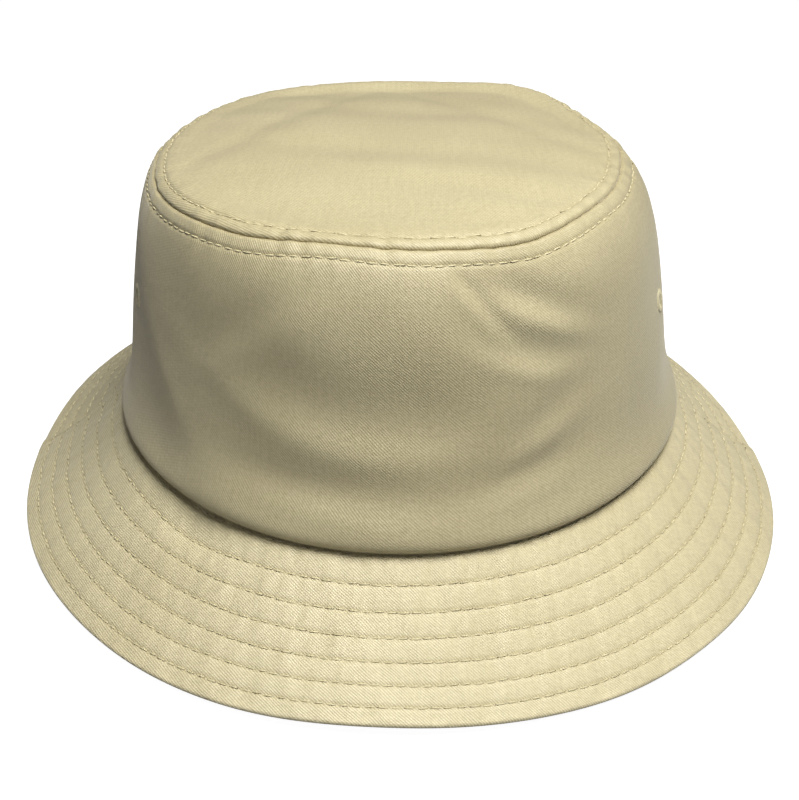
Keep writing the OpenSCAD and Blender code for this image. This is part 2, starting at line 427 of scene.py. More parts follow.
    def brim(self, turn: Array, share: Array) -> Array:
        """Upper face of the brim.

        Args:
            turn: outward directions.
            share: distance down the brim as a share of its width, from 0 at the headline to 1.

        Returns:
            The points.
        """
        turn, share = np.broadcast_arrays(np.asarray(turn, float), np.asarray(share, float))
        flare = 4 * share * (1 - share)
        offset = self.brim_run * share - self.cloth * (1 - share) - 1.0 * MM * flare
        z = self.head_z + self.edge_height(turn) * share - 1.2 * MM * flare
        rear = turn_gap(turn, 90)
        behind = 90 - np.abs(rear)
        sag = self.seam_dip * 4 * share * (1 - share) + self.edge_dip * share
        z = z - sag * smooth_step(behind / 2.2) * np.exp(-np.maximum(behind, 0) / 17)
        z = z - self.hem_dip * bell(turn_gap(turn, 229) / 9) * bell((share - 0.14) / 0.13)
        out = bell(turn_gap(turn, 322) / 28) - bell(turn_gap(turn, 22) / 22) + 0.6 * bell(turn_gap(turn, 152) / 20)
        offset = offset + self.brim_skew * share * out
        plan = self.oval.at(turn, offset)
        z = z + self.brim_ripple.at(plan[..., 0], plan[..., 1]) * smooth_step(share / 0.3)
        plan[..., 1] = plan[..., 1] + self.brim_back_shift * np.maximum(share, 0) ** 1.5
        return np.concatenate([plan, z[..., None]], -1)

    def row_share(self, number: int) -> float:
        """Where a brim row lies, as a share of the brim's width; rows count from 0 at the headline."""
        return self.first_row + self.row_step * number - self.row_tightening * number**2

    def crown_normal(self, turn: Array, station: Array, hem: float = 1.0) -> Array:
        """Outward normals of the crown."""
        return surface_normal(lambda t, v: self.crown(t, v, hem), turn, station, 0.4 * MM)

    def brim_normal(self, turn: Array, share: Array) -> Array:
        """Upward normals of the brim."""
        return -surface_normal(self.brim, turn, share, 0.01)

    def crown_relief(self, turn: Array, station: Array) -> Array:
        """Seam grooves, stitch dents and puckers of the crown, as heights above the plain cloth.

        Args:
            turn: outward directions.
            station: distances up the cloth.

        Returns:
            The heights.
        """
        past = (station - self.seam_station(turn)) / MM
        ring = turn * (self.oval.half_width + self.oval.half_length) / 2 / MM
        seam = -0.65 * bell(past / 0.45) + 0.14 * bell((past - 1.8) / 1.5) + 0.06 * bell((past + 2.2) / 1.8)
        rows = bell((past - self.tip_row) / 0.65) + bell((past + self.wall_row) / 0.65)
        near = bell((past - self.tip_row) / 1.9) + bell((past + self.wall_row) / 1.9)
        gather = np.sin(41 * turn + 1.3) + np.sin(58 * turn + 4.0) + 0.8 * np.sin(73 * turn + 2.2 + 0.25 * past)
        gathers = 0.11 * gather * bell(past / 7)
        stitches = 0.05 * np.sin(FULL_TURN * ring / 3.4) * near
        side = self.side_gap(turn)
        join = (-0.85 * bell(side / 0.8) + 0.22 * bell((side - 3) / 1.8)) * (past < 0)
        low = smooth_step(station / (3 * MM))
        return (seam - 0.3 * rows + gathers + stitches + join * low) * MM

    def brim_relief(self, turn: Array, share: Array) -> Array:
        """Stitch channels and side seams of the brim, as heights above the plain cloth.

        Args:
            turn: outward directions.
            share: distance down the brim as a share of its width.

        Returns:
            The heights.
        """
        slant = self.brim_slant(turn) / MM
        ring = turn * (self.oval.half_width + self.oval.half_length + self.brim_run) / 2 / MM
        total = np.zeros(np.broadcast(turn, share).shape)
        for number in range(self.row_count):
            away = (share - self.row_share(number)) * slant
            total = total - 0.22 * bell(away / 0.65) + 0.05 * np.sin(FULL_TURN * ring / 3.4) * bell(away / 1.8)
            if number + 1 < self.row_count:
                middle = (self.row_share(number) + self.row_share(number + 1)) / 2
                total = total + 0.11 * bell((share - middle) * slant / 2.6)
        rope = np.sin(67 * turn + 9 * share) + np.sin(91 * turn - 13 * share + 2) + np.sin(113 * turn + 17 * share + 5)
        slow = np.sin(23 * turn + 5 * share) + np.sin(31 * turn - 7 * share + 1) + np.sin(43 * turn + 4 * share + 3)
        total = total + (0.07 * rope + 0.09 * slow) * smooth_step(share / 0.05)
        side = self.side_gap(turn) * 1.2
        total = total - 0.6 * bell(side / 0.8) + 0.2 * bell((side - 2.6) / 1.6)
        return total * MM

    def crown_point(self, turn: Array, station: Array, depth: Array, hem: float = 1.0) -> Array:
        """Points at a depth below the crown's outer face, relief not included."""
        depth = np.asarray(depth, float)
        return self.crown(turn, station, hem) - self.crown_normal(turn, station, hem) * depth[..., None]

    def brim_point(self, turn: Array, share: Array, depth: Array) -> Array:
        """Points at a depth below the brim's upper face, relief not included."""
        depth = np.asarray(depth, float)
        return self.brim(turn, share) - self.brim_normal(turn, share) * depth[..., None]


def surface_normal(surface: Callable[[Array, Array], Array], turn: Array, station: Array, step: float) -> Array:
    """Normals of a surface, by small steps either way: increasing turn crossed with increasing station.

    Args:
        surface: gives points from turns and stations.
        turn: outward directions.
        station: stations.
        step: step in station.

    Returns:
        Unit normals; where the surface shrinks to a point they point up.
    """
    nudge = 2e-3
    along = surface(turn + nudge, station) - surface(turn - nudge, station)
    up = surface(turn, station + step) - surface(turn, station - step)
    normal = np.cross(along, up)
    size = np.linalg.norm(normal, axis=-1, keepdims=True)
    flat = size < 1e-13
    return np.where(flat, np.array([0.0, 0.0, 1.0]), normal / np.where(flat, 1, size))


@dataclass
class Shell:
    """One piece of cloth as two grids of points, closed round its edges.

    Args:
        name: the piece's name.
        outer: the outer face, rows by columns by 3.
        inner: the inner face, point for point below the outer one.
        cloth: the pattern's coordinates in metres; a ring has one column more, where it closes.
        shade: how deep in a seam each point lies, from 0 to 1.
        ring: whether the last column joins the first.
        pole: whether the last row is one point.
        kept: which cells are there; all of them when left out.
    """

    name: str
    outer: Array
    inner: Array
    cloth: Array
    shade: Array
    ring: bool = False
    pole: bool = False
    kept: Array | None = None

    def build(self) -> bpy.types.Object:
        """Makes the closed mesh.

        Returns:
            The object, at the origin.
        """
        rows, columns = self.outer.shape[:2]
        count = rows * columns
        wide = columns if self.ring else columns - 1
        point = np.arange(count).reshape(rows, columns)
        if self.pole:
            point[-1, :] = point[-1, 0]
        across = np.arange(columns + 1) % columns if self.ring else np.arange(columns)
        point = point[:, across]
        place = np.arange(rows * (wide + 1)).reshape(rows, wide + 1)
        kept = np.ones((rows - 1, wide), bool) if self.kept is None else self.kept
        corner = self.corners(point)
        spot = self.corners(place)
        faces, spots = [], []
        quads = kept.copy()
        if self.pole:
            quads[-1] = False
            for reverse in (False, True):
                tip = corner[-1][:, :3] + (count if reverse else 0)
                where = spot[-1][:, :3]
                faces.append(tip[:, ::-1] if reverse else tip)
                spots.append(where[:, ::-1] if reverse else where)
        faces += [corner[quads], corner[quads][:, ::-1] + count]
        spots += [spot[quads], spot[quads][:, ::-1]]
        beside = np.zeros((rows + 1, wide + 2), bool)
        beside[1:-1, 1:-1] = kept
        if self.ring:
            beside[:, 0], beside[:, -1] = beside[:, -2], beside[:, 1]
        if self.pole:
            beside[-1] = True
        next_cells = (beside[:-2, 1:-1], beside[1:-1, 2:], beside[2:, 1:-1], beside[1:-1, :-2])
        for edge, neighbour in enumerate(next_cells):
            open_edge = kept & ~neighbour
            a, b = corner[open_edge][:, edge], corner[open_edge][:, (edge + 1) % 4]
            here, there = spot[open_edge][:, edge], spot[open_edge][:, (edge + 1) % 4]
            faces.append(np.stack([b, a, a + count, b + count], -1))
            spots.append(np.stack([there, here, here, there], -1))
        points = np.concatenate([self.outer.reshape(-1, 3), self.inner.reshape(-1, 3)])
        shades = np.concatenate([self.shade.ravel(), self.shade.ravel()])
        if self.faces_inward(points, corner[kept]):
            faces = [f[:, ::-1] for f in faces]
            spots = [f[:, ::-1] for f in spots]
        return self.write(points, shades, faces, spots)

    @staticmethod
    def corners(grid: Array) -> Array:
        """The four corners of every cell of a grid, in order round it."""
        return np.stack([grid[:-1, :-1], grid[:-1, 1:], grid[1:, 1:], grid[1:, :-1]], -1)

    @staticmethod
    def faces_inward(points: Array, cells: Array) -> bool:
        """Whether the outer face's cells turn their fronts to the inner face."""
        half = len(points) // 2
        a, b, d = (points[cells[:, i]] for i in (0, 1, 3))
        out = points[cells[:, 0]] - points[cells[:, 0] + half]
        return float(np.sum(np.cross(b - a, d - a) * out)) < 0

    def write(self, points: Array, shades: Array, faces: list[Array], spots: list[Array]) -> bpy.types.Object:
        """Writes points and faces into a new mesh object, without loose points."""
        used, loops = np.unique(np.concatenate([f.ravel() for f in faces]), return_inverse=True)
        sizes = np.concatenate([np.full(len(f), f.shape[1]) for f in faces])
        places = np.concatenate([f.ravel() for f in spots])
        mesh = bpy.data.meshes.new(self.name)
        mesh.vertices.add(len(used))
        mesh.vertices.foreach_set("co", points[used].ravel())
        mesh.loops.add(len(loops))
        mesh.loops.foreach_set("vertex_index", loops.ravel().astype(np.int32))
        mesh.polygons.add(len(sizes))
        starts = np.concatenate([[0], np.cumsum(sizes)[:-1]])
        mesh.polygons.foreach_set("loop_start", starts.astype(np.int32))
        layer = mesh.uv_layers.new(name="cloth")
        layer.data.foreach_set("uv", self.cloth.reshape(-1, 2)[places].ravel())
        mesh.update(calc_edges=True)
        mesh.validate()
        # The seam attribute holds each piece's mask for painted shade in its seams and rows.
        seam = mesh.attributes.new("seam", "FLOAT", "POINT")
        seam.data.foreach_set("value", shades[used].ravel().astype(np.float32))
        piece = bpy.data.objects.new(self.name, mesh)
        bpy.context.scene.collection.objects.link(piece)
        smooth(piece, 50)
        return piece


def smooth(piece: bpy.types.Object, degrees: float) -> None:
    """Shades a piece smooth, but for edges sharper than an angle."""
    bpy.ops.object.select_all(action="DESELECT")
    piece.select_set(True)
    bpy.context.view_layer.objects.active = piece
    bpy.ops.object.shade_smooth_by_angle(angle=math.radians(degrees))
    piece.select_set(False)


def attach(piece: bpy.types.Object, material: bpy.types.Material, slot: str, *nodes: str) -> bpy.types.Object:
    """Gives a piece its material and its body, hides the parts that it stands for and logs its slot.

    Args:
        piece: the finished piece.
        material: its finish.
        slot: the record's material slot.
        nodes: the design's parts that it replaces.

    Returns:
        The same piece.
    """
    piece.data.materials.clear()
    piece.data.materials.append(material)
    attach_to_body(piece, BODY)
    if nodes:
        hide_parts(*nodes)
    LOG.info("%s: %d faces, %s", piece.name, len(piece.data.polygons), slot)
    return piece


@dataclass(frozen=True)
class Cut:
    """The flat size that a piece of cloth is cut to, seam to seam.

    Args:
        width: its width; not used.
        length: its length; not used.
        area: its area where it isn't a rectangle; not used.
    """

    width: float
    length: float
    area: float | None = None

    def declare(self, piece: bpy.types.Object, held: str, rests_on: Sequence[str]) -> None:
        """Does nothing: the piece is not declared as a sheet."""


def closed_ring(values: Array) -> Array:
    """Adds the first column again after the last."""
    return np.concatenate([values, values[:, :1]], 1)


@dataclass
class Crown:
    """The crown: one oval tip and two wall panels, front and back.

    Args:
        form: the form that they lie on.
        eyelets: turn and station of every eyelet.
    """

    form: HatForm
    eyelets: Sequence[tuple[float, float]]
    cloth: float = 0.5 * MM
    tip_columns: int = 480
    wall_columns: int = 270
    fine_margin: float = 11 * MM
    hem_margin: float = 6 * MM
    eyelet_cut: float = 2.6 * MM
    tip_cut: Cut = Cut(0.139, 0.154, 0.01677)
    wall_cut: Cut = Cut(0.296, 0.086, 0.0226)

    def shade(self, turn: Array, station: Array) -> Array:
        """How deep in a seam, a stitch row or the hem each point lies, from 0 to 1: the mask for painted shade with
        dust in these hollows.
        """
        form = self.form
        past = (station - form.seam_station(turn)) / MM
        rows = bell((past - form.tip_row) / 0.7) + bell((past + form.wall_row) / 0.7)
        sides = bell(form.side_gap(turn) / 0.9) * (past < 0)
        hem = bell(station / (2.2 * MM))
        return np.clip(bell(past / 0.6) + 0.6 * rows + 0.8 * sides + hem, 0, 1)

    def faces(self, turn: Array, station: Array) -> tuple[Array, Array]:
        """Outer and inner face of the cloth, seams and puckers included."""
        relief = self.form.crown_relief(turn, station)
        outer = self.form.crown_point(turn, station, -relief)
        return outer, self.form.crown_point(turn, station, self.cloth - relief)

    def tip(self, material: bpy.types.Material) -> bpy.types.Object:
        """The oval tip, from its seam to its middle.

        Args:
            material: the twill.

        Returns:
            The piece.
        """
        turn = np.linspace(0, FULL_TURN, self.tip_columns, endpoint=False)[None, :]
        seam = self.form.seam_station(turn)
        rim = self.form.crown(turn, np.full_like(turn, self.form.wall_length))
        total = self.form.wall_length - seam + np.linalg.norm(rim[..., :2], axis=-1)
        near = np.arange(0, self.fine_margin, 0.4 * MM)[:, None] + 0 * turn
        far = self.fine_margin + np.linspace(0, 1, 46)[:, None] ** 1.05 * (total - self.fine_margin)
        station = seam + np.concatenate([near, far])
        turn = turn + 0 * station
        outer, inner = self.faces(turn, station)
        heading = rim[..., :2] / np.linalg.norm(rim[..., :2], axis=-1, keepdims=True)
        cloth = closed_ring(heading * (seam + total - station)[..., None])
        shell = Shell("crown_tip_twill", outer, inner, cloth, self.shade(turn, station), ring=True, pole=True)
        piece = attach(shell.build(), material, "twill_crown", "crown_tip")
        self.tip_cut.declare(piece, "stretched", ("crown_wall_front_twill", "crown_wall_back_twill"))
        return piece

    def wall(self, half: Half, material: bpy.types.Material) -> bpy.types.Object:
        """One wall panel, from the headline to the tip seam, with holes under its eyelets.

        Args:
            half: front or back.
            material: the twill.

        Returns:
            The piece.
        """
        turn = np.linspace(*half.value, self.wall_columns)[None, :]
        seam = self.form.seam_station(turn)
        low = np.arange(0, self.hem_margin, 0.5 * MM)[:, None] + 0 * turn
        high = seam - self.fine_margin + np.arange(0, self.fine_margin + 1e-6, 0.4 * MM)[:, None]
        high = high - high[-1:] + seam
        middle = self.hem_margin + np.linspace(0, 1, 68, endpoint=False)[:, None] * (high[:1] - self.hem_margin)
        station = np.concatenate([low, middle, high])
        turn = turn + 0 * station
        outer, inner = self.faces(turn, station)
        middle_turn = sum(half.value) / 2
        run = self.form.oval.distance(turn[0], middle_turn)
        cloth = np.stack([run + 0 * station, station], -1)
        kept = np.ones((station.shape[0] - 1, station.shape[1] - 1), bool)
        at = (cloth[:-1, :-1] + cloth[1:, 1:]) / 2
        for eye_turn, eye_station in self.eyelets:
            if half.value[0] < eye_turn < half.value[1]:
                eye_run = self.form.oval.distance(np.array([eye_turn]), middle_turn)
                gap = np.hypot((at[..., 0] - eye_run) * 0.94, at[..., 1] - eye_station)
                kept &= gap > self.eyelet_cut
        shell = Shell(f"crown_wall_{half.word}_twill", outer, inner, cloth, self.shade(turn, station), kept=kept)
        piece = attach(shell.build(), material, "twill_crown", f"crown_wall_{half.word}")
        self.wall_cut.declare(piece, "stretched", (f"brim_upper_{half.word}_twill",))
        return piece


@dataclass
class Brim:
    """The brim: two cloths with a stiff interlining between them, in a front and a back half each.

    Args:
        form: the form that they lie on.
    """

    form: HatForm
    cloth: float = 0.5 * MM
    stiffener: float = 0.4 * MM
    columns: int = 360
    rows: int = 92
    under_columns: int = 260
    under_rows: int = 66
    round_steps: int = 7
    pattern_radius: float = 0.126
    pattern_angle: float = math.radians(134)
    cut: Cut = Cut(0.326, 0.128, 0.0178)

    @property
    def half_thickness(self) -> float:
        """Half the thickness of the brim, which is the radius of its edge."""
        return self.form.brim_thickness / 2

    def shade(self, turn: Array, share: Array) -> Array:
        """How deep in a seam or a stitch row each point lies, from 0 to 1: the mask for painted shade with dust at the
        headline, the side seams and the rows.
        """
        slant = self.form.brim_slant(turn) / MM
        total = bell(share * slant / 2.5) + 0.7 * bell(self.form.side_gap(turn) / 0.9)
        for number in range(self.form.row_count):
            total = total + 0.85 * bell((share - self.form.row_share(number)) * slant / 0.55)
        return np.clip(total, 0, 1)

    def pattern(self, turn: Array, share: Array, half: Half) -> Array:
        """Places on the flat pattern, whose grain runs straight while the brim curves."""
        angle = (turn - sum(half.value) / 2) / math.pi * self.pattern_angle
        radius = self.pattern_radius + share * self.form.brim_slant(turn)
        return np.stack([radius * np.sin(angle), -radius * np.cos(angle)], -1)

    def grid(self, half: Half, columns: int, rows: int) -> tuple[Array, Array, Array]:
        """Turns, flat shares and roll angles of a cloth that turns round the edge."""
        turn = np.linspace(*half.value, columns)[None, :]
        slant = self.form.brim_slant(turn)
        flat_end = 1 - self.half_thickness / slant
        flat = np.linspace(0, 1, rows, endpoint=False)[:, None] * flat_end
        roll = np.concatenate([np.zeros(rows), np.linspace(0, math.pi / 2, self.round_steps)])[:, None]
        share = np.concatenate([flat, flat_end + np.zeros((self.round_steps, 1))])
        return turn + 0 * share, share, roll + 0 * share

    def cover(
        self, name: str, half: Half, face: Face, material: bpy.types.Material, slot: str, node: str
    ) -> bpy.types.Object:
        """One covering cloth, from the headline round to the middle of the edge.

        Args:
            name: the piece's name.
            half: front or back.
            face: the upper cloth is outside, the under one inside.
            material: its twill.
            slot: the record's material slot.
            node: the part that it replaces.

        Returns:
            The piece.
        """
        over = face is Face.OUTSIDE
        size = (self.columns, self.rows) if over else (self.under_columns, self.under_rows)
        turn, share, roll = self.grid(half, *size)
        slant = self.form.brim_slant(turn)
        r = self.half_thickness
        inner_r = r - self.cloth
        outer_share, inner_share = share + r * np.sin(roll) / slant, share + inner_r * np.sin(roll) / slant
        outer_depth, inner_depth = r - r * np.cos(roll), r - inner_r * np.cos(roll)
        relief = self.form.brim_relief(turn, share) * smooth_step((1 - outer_share) * slant / (2.5 * MM))
        if over:
            outer = self.form.brim_point(turn, outer_share, outer_depth - relief)
            inner = self.form.brim_point(turn, inner_share, inner_depth - relief)
        else:
            outer = self.form.brim_point(turn, outer_share, 2 * r - outer_depth + relief)
            inner = self.form.brim_point(turn, inner_share, 2 * r - inner_depth + relief)
        cloth = self.pattern(turn, outer_share, half)
        piece = Shell(name, outer, inner, cloth, self.shade(turn, outer_share)).build()
        attach(piece, material, slot, node)
        self.cut.declare(piece, "stretched", (f"brim_interlining_{half.word}_pad",))
        return piece

    def interlining(self, half: Half, material: bpy.types.Material) -> bpy.types.Object:
        """The stiffener between the cloths, a little short of the edge."""
        turn = np.linspace(*half.value, 120)[None, :]
        slant = self.form.brim_slant(turn)
        share = np.linspace(0.01, 1, 24)[:, None] * (1 - 1.3 * MM / slant)
        turn = turn + 0 * share
        top = np.full(share.shape, self.half_thickness - self.stiffener / 2)
        outer = self.form.brim_point(turn, share, top)
        inner = self.form.brim_point(turn, share, top + self.stiffener)
        cloth = self.pattern(turn, share, half)
        name = f"brim_interlining_{half.word}_pad"
        piece = Shell(name, outer, inner, cloth, 0 * share).build()
        attach(piece, material, "interlining", f"brim_interlining_{half.word}")
        self.cut.declare(piece, "stretched", (f"brim_under_{half.word}_twill",))
        return piece


@dataclass
class Lining:
    """What the wearer's head touches: seam tapes, sweatband and a blank care label.

    Args:
        form: the form that they lie on.
    """

    form: HatForm
    tape: float = 0.4 * MM
    tape_depth: float = 0.55 * MM
    tip_tape_width: float = 15 * MM
    side_tape_width: float = 12 * MM
    band_depth: float = 2.0 * MM
    band_thickness: float = 1.1 * MM
    band_height: float = 28 * MM
    band_roll: float = 0.35 * MM
    label_width: float = 26 * MM
    label_height: float = 18 * MM
    label_low: float = 4 * MM

    def tip_tape(self, material: bpy.types.Material) -> bpy.types.Object:
        """The tape over the inside of the tip seam."""
        turn = np.linspace(0, FULL_TURN, 240, endpoint=False)[None, :]
        across = np.linspace(-0.5, 0.5, 22)[:, None] * self.tip_tape_width
        station = self.form.seam_station(turn) + across
        turn = turn + 0 * station
        relief = self.form.crown_relief(turn, station)
        outer = self.form.crown_point(turn, station, self.tape_depth - relief)
        inner = self.form.crown_point(turn, station, self.tape_depth + self.tape - relief)
        run = self.form.oval.distance(np.linspace(0, FULL_TURN, 241), 0.0)[None, :] * 0.8
        cloth = np.stack([run + 0 * across, across + 0 * run], -1)
        # Painted shade along the tape's two edges.
        shade = np.clip(bell((np.abs(across) - 0.5 * self.tip_tape_width) / (1 * MM)), 0, 1) + 0 * turn
        piece = Shell("tip_seam_tape_cloth", outer, inner, cloth, shade, ring=True).build()
        attach(piece, material, "seam_tape", "tip_seam_tape")
        Cut(0.476, self.tip_tape_width).declare(piece, "stretched", ("crown_tip_twill",))
        return piece

    def side_tape(self, side: Side, material: bpy.types.Material) -> bpy.types.Object:
        """The tape over the inside of one side seam."""
        middle = 0.0 if side is Side.RIGHT else math.pi
        reach = self.side_tape_width / 2 / (self.form.mm_per_degree * MM)
        turn = middle + np.radians(np.linspace(-reach, reach, 20))[None, :]
        top = self.form.wall_length - 11 * MM
        station = np.linspace(8 * MM, top, 60)[:, None] + 0 * turn
        turn = turn + 0 * station
        relief = self.form.crown_relief(turn, station)
        outer = self.form.crown_point(turn, station, self.tape_depth - relief)
        inner = self.form.crown_point(turn, station, self.tape_depth + self.tape - relief)
        run = np.linspace(-0.5, 0.5, 20)[None, :] * self.side_tape_width
        cloth = np.stack([run + 0 * station, station], -1)
        name = f"side_seam_tape_{side.name.lower()}"
        piece = Shell(f"{name}_cloth", outer, inner, cloth, 0 * station).build()
        attach(piece, material, "seam_tape", name)
        Cut(self.side_tape_width, top - 8 * MM).declare(piece, "stretched", ("crown_wall_front_twill",))
        return piece

    def band_point(self, turn: Array, height: Array, depth: Array) -> Array:
        """Points of the sweatband, which stands straight inside the wall."""
        return self.form.crown_point(turn, height, depth, hem=0.0)

    def sweatband(self, material: bpy.types.Material) -> bpy.types.Object:
        """The folded cotton band that is sewn in at the headline."""
        turn = np.linspace(0, FULL_TURN, 300, endpoint=False)[None, :]
        lift = np.linspace(0, 1, 36)[:, None]
        height = lift * self.band_height + 0 * turn
        turn = turn + 0 * height
        ease = 0.25 * MM * np.sin(9 * turn + 1) * smooth_step(lift * 2)
        ease = ease + self.band_roll * smooth_step((lift - 0.85) / 0.15)
        pinch = 0.38 * self.band_thickness * (bell((1 - lift) / 0.03) + 0.6 * bell((lift - 0.1) / 0.03))
        outer = self.band_point(turn, height, self.band_depth + 0 * ease + pinch)
        inner = self.band_point(turn, height, self.band_depth + self.band_thickness + ease - pinch)
        run = self.form.oval.distance(np.linspace(0, FULL_TURN, 301), 0.0)[None, :]
        cloth = np.stack([run + 0 * lift, lift * self.band_height + 0 * run], -1)
        # Painted shade with dust at the band's lower edge and in its pinch.
        shade = np.clip(bell(lift / 0.08) + 0.6 * bell((lift - 0.1) / 0.02), 0, 1) + 0 * turn
        piece = Shell("sweatband_cotton", outer, inner, cloth, shade, ring=True).build()
        attach(piece, material, "sweatband_cloth", "sweatband")
        Cut(0.578, self.band_height).declare(piece, "stretched", ("crown_wall_front_twill", "crown_wall_back_twill"))
        return piece

    def label(self, material: bpy.types.Material) -> bpy.types.Object:
        """A blank ribbon label, sewn by its lower edge to the back of the sweatband."""
        across = np.linspace(-0.5, 0.5, 40)[None, :] * self.label_width
        up = np.linspace(0, 1, 28)[:, None]
        turn = math.pi / 2 + across / (self.form.oval.half_width) + 0 * up
        height = self.label_low + up * self.label_height + 0 * across
        stand = 0.5 * MM * up**2 + 0.25 * MM * np.sin(across / (4 * MM)) * up
        start = self.band_depth + self.band_thickness + 0.35 * MM
        outer = self.band_point(turn, height, start + stand)
        inner = self.band_point(turn, height, start + stand + self.tape)
        cloth = np.stack([across + 0 * up, up * self.label_height + 0 * across], -1)
        piece = Shell("care_label_ribbon", outer, inner, cloth, 0 * turn).build()
        attach(piece, material, "label_ribbon", "care_label")
        Cut(self.label_width, self.label_height).declare(piece, "hung", ("sweatband_cotton",))
        return piece


Path = Callable[[Array], tuple[Array, Array]]


@dataclass
class Sewing:
    """Lock stitches: one modelled stitch, copied along every row.

    Args:
        form: the form that the rows lie on.
    """

    form: HatForm
    pitch: float = 3.4 * MM
    length_share: float = 0.97
    radius: float = 0.25 * MM
    dive: float = 0.42 * MM
    seat: float = 0.12 * MM
    wander: float = 0.08 * MM
    segments: int = 6

    def __post_init__(self) -> None:
        """Models the one stitch, a slim bead whose ends dive into the cloth."""
        bpy.ops.object.select_all(action="DESELECT")
        bpy.ops.mesh.primitive_uv_sphere_add(segments=self.segments, ring_count=self.segments, radius=0.5)
        bead = bpy.context.active_object
        bpy.ops.object.mode_set(mode="EDIT")
        bpy.ops.mesh.select_all(action="SELECT")
        bpy.ops.transform.rotate(value=math.pi / 2, orient_axis="Y", center_override=(0, 0, 0))
        bpy.ops.object.mode_set(mode="OBJECT")
        points = np.array([v.co for v in bead.data.vertices])
        points[:, 0] = np.sign(points[:, 0]) * 0.5 * np.abs(2 * points[:, 0]) ** 0.7
        self.bead = points
        # Painted shade at the needle holes: the mask rises towards the bead's ends, where the thread dives into the
        # cloth.
        self.needle_hole_shade = np.clip(np.abs(2 * points[:, 0]) ** 2 * 2.4 - 1.0, 0, 1)
        self.bead_faces = [list(polygon.vertices) for polygon in bead.data.polygons]
        bpy.data.objects.remove(bead, do_unlink=True)

    def row(self, path: Path, seed: int, start: float = 0.0) -> Array:
        """Points of every stitch of one closed row.

        Args:
            path: gives points and outward normals from turns.
            seed: fixes the small irregularities.
            start: where the first stitch is, in stitches.

        Returns:
            The points, stitches by bead points by 3.
        """
        draw = np.random.RandomState(seed)
        fine = np.linspace(0, FULL_TURN, 3001)
        track = path(fine)[0]
        run = np.concatenate([[0], np.cumsum(np.linalg.norm(np.diff(track, axis=0), axis=1))])
        count = int(round(run[-1] / self.pitch))
        step = run[-1] / count
        middle = (np.arange(count) + 0.5 + start % 1) * step + draw.normal(0, 0.02, count) * step
        turn = np.interp(middle % run[-1], run, fine)
        at, normal = path(turn)
        ahead = path(turn + 2e-3)[0] - path(turn - 2e-3)[0]
        ahead = ahead / np.linalg.norm(ahead, axis=1, keepdims=True)
        across = np.cross(normal, ahead)
        skew = draw.normal(0.03, 0.025, count)[:, None]
        ahead, across = ahead + across * skew, across - ahead * skew
        at = at + across * draw.normal(0, self.wander, count)[:, None]
        length = step * self.length_share * draw.uniform(0.95, 1.04, count)
        along = self.bead[None, :, 0] * length[:, None]
        wide = self.bead[None, :, 1] * 2 * self.radius
        high = self.bead[None, :, 2] * 2 * self.radius + self.seat - self.dive * np.abs(2 * self.bead[None, :, 0]) ** 3
        return (
            at[:, None]
            + along[..., None] * ahead[:, None]
            + wide[..., None] * across[:, None]
            + high[..., None] * normal[:, None]
        )

    def piece(self, name: str, rows: Sequence[Array], material: bpy.types.Material, *nodes: str) -> bpy.types.Object:
        """One piece from rows of stitches."""
        points = np.concatenate([row.reshape(-1, 3) for row in rows])
        copies = len(points) // len(self.bead)
        faces = [[i + n * len(self.bead) for i in face] for n in range(copies) for face in self.bead_faces]
        mesh = bpy.data.meshes.new(name)
        mesh.from_pydata(points.tolist(), [], faces)
        # The needle-hole mask goes into the seam attribute, for painted shade at the holes.
        needle_hole_shade = mesh.attributes.new("seam", "FLOAT", "POINT")
        needle_hole_shade.data.foreach_set("value", np.tile(self.needle_hole_shade, copies).astype(np.float32))
        made = bpy.data.objects.new(name, mesh)
        bpy.context.scene.collection.objects.link(made)
        bpy.ops.object.select_all(action="DESELECT")
        bpy.context.view_layer.objects.active = made
        bpy.ops.object.mode_set(mode="EDIT")
        bpy.ops.mesh.select_all(action="SELECT")
        bpy.ops.mesh.normals_make_consistent(inside=False)
        bpy.ops.object.mode_set(mode="OBJECT")
        smooth(made, 80)
        return attach(made, material, "sewing_thread", *nodes)

    def crown_path(self, beyond: float, face: Face) -> Path:
        """A row on the crown at a distance from the tip seam, positive on the tip."""

        def path(turn: Array) -> tuple[Array, Array]:
            """Points and normals of the row."""
            station = self.form.seam_station(turn) + beyond
            normal = self.form.crown_normal(turn, station)
            depth = -self.form.crown_relief(turn, station)
            if face is Face.INSIDE:
                depth = depth + 0.95 * MM
            return self.form.crown(turn, station) - normal * depth[:, None], normal * face.value

        return path

    def brim_path(self, number: int, face: Face) -> Path:
        """One of the brim's rows, on its upper or under cloth."""

        def path(turn: Array) -> tuple[Array, Array]:
            """Points and normals of the row."""
            share = np.full_like(turn, self.form.row_share(number))
            normal = self.form.brim_normal(turn, share)
            relief = self.form.brim_relief(turn, share)
            depth = -relief if face is Face.OUTSIDE else self.form.brim_thickness + relief
            return self.form.brim(turn, share) - normal * depth[:, None], normal * face.value

        return path

    def headline_path(self, height: float, depth: float, face: Face) -> Path:
        """The row that joins the crown, the brim and the sweatband."""

        def path(turn: Array) -> tuple[Array, Array]:
            """Points and normals of the row."""
            station = np.full_like(turn, height)
            normal = self.form.crown_normal(turn, station, hem=0.0)
            point = self.form.crown(turn, station, hem=0.0) - normal * depth
            return point, normal * face.value

        return path

    def crown_row(
        self, name: str, beyond: float, seed: int, material: bpy.types.Material, node: str
    ) -> bpy.types.Object:
        """A topstitch on the crown, with its bobbin side inside."""
        rows = [self.row(self.crown_path(beyond, face), seed + face.value, 0.0) for face in Face]
        return self.piece(name, rows, material, node)

